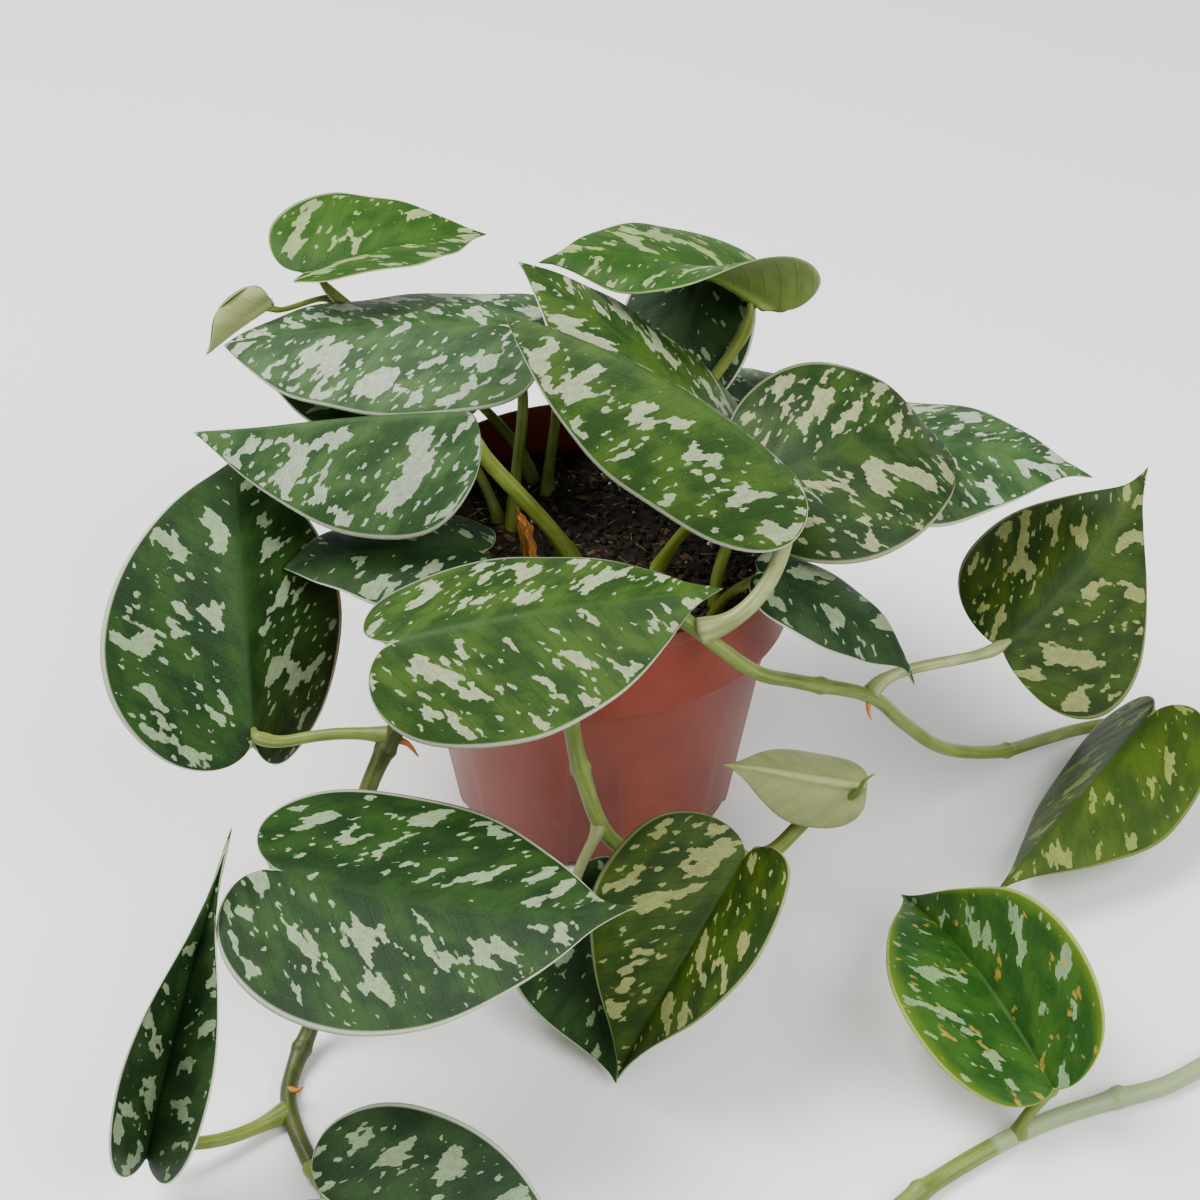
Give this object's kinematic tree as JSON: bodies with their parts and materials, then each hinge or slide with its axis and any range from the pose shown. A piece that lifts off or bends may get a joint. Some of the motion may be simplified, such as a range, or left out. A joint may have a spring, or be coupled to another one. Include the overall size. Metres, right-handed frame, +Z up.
{
  "type": "potted trailing plant",
  "caption": "Small satin pothos with silver-splashed heart-shaped leaves on trailing vines, rooted in soil in a round reddish nursery pot.",
  "frame": {"origin": "centre of the pot's flat middle foot, on the surface the pot stands on", "axes": "+Z up along the pot's axis; -Y towards the front, where the front leaves hang; +X to the right, where the longest vine trails"},
  "size_m": [0.3453, 0.3179, 0.172],
  "materials": {
    "terracotta_plastic": "satin moulded plastic",
    "potting_soil": "rough, crumbly",
    "vine_green": "smooth, slightly waxy",
    "stalk_green": "smooth, slightly waxy",
    "leaf_mature": "satin, with silver splashes",
    "leaf_young": "satin, with cream splashes",
    "dry_sheath": "dry, papery"
  },
  "bodies": {
    "root": {"pot": "terracotta_plastic", "soil": "potting_soil", "vine_left": "vine_green", "vine_front": "vine_green", "vine_right": "vine_green", "blade_top_left": "leaf_young", "blade_young_rolled": "leaf_young", "blade_silver_left": "leaf_mature", "blade_shaded_left": "leaf_mature", "blade_folded_left": "leaf_mature", "blade_far_left": "leaf_mature", "blade_under_left": "leaf_mature", "blade_centre_big": "leaf_mature", "blade_centre_back": "leaf_mature", "blade_top_right": "leaf_mature", "blade_back_shaded": "leaf_mature", "blade_small_inner": "leaf_young", "blade_right_round": "leaf_mature", "blade_right_outer": "leaf_mature", "blade_right_under": "leaf_mature", "blade_right_heart": "leaf_young", "blade_far_right": "leaf_young", "blade_low_right": "leaf_young", "blade_front_centre": "leaf_mature", "blade_front_left": "leaf_mature", "blade_left_edge": "leaf_mature", "blade_front_low": "leaf_mature", "blade_front_narrow": "leaf_mature", "blade_front_yellow": "leaf_young", "blade_front_young": "leaf_young", "blade_back_left": "leaf_mature", "blade_back_right": "leaf_mature", "stalk_top_left": "stalk_green", "stalk_young_rolled": "stalk_green", "stalk_silver_left": "stalk_green", "stalk_shaded_left": "stalk_green", "stalk_folded_left": "stalk_green", "stalk_far_left": "stalk_green", "stalk_under_left": "stalk_green", "stalk_centre_big": "stalk_green", "stalk_centre_back": "stalk_green", "stalk_top_right": "stalk_green", "stalk_back_shaded": "stalk_green", "stalk_small_inner": "stalk_green", "stalk_right_round": "stalk_green", "stalk_right_outer": "stalk_green", "stalk_right_under": "stalk_green", "stalk_right_heart": "stalk_green", "stalk_far_right": "stalk_green", "stalk_low_right": "stalk_green", "stalk_front_centre": "stalk_green", "stalk_front_left": "stalk_green", "stalk_left_edge": "stalk_green", "stalk_front_low": "stalk_green", "stalk_front_narrow": "stalk_green", "stalk_front_yellow": "stalk_green", "stalk_front_young": "stalk_green", "stalk_back_left": "stalk_green", "stalk_back_right": "stalk_green", "sheath_dried": "dry_sheath"}
  },
  "joints": []
}
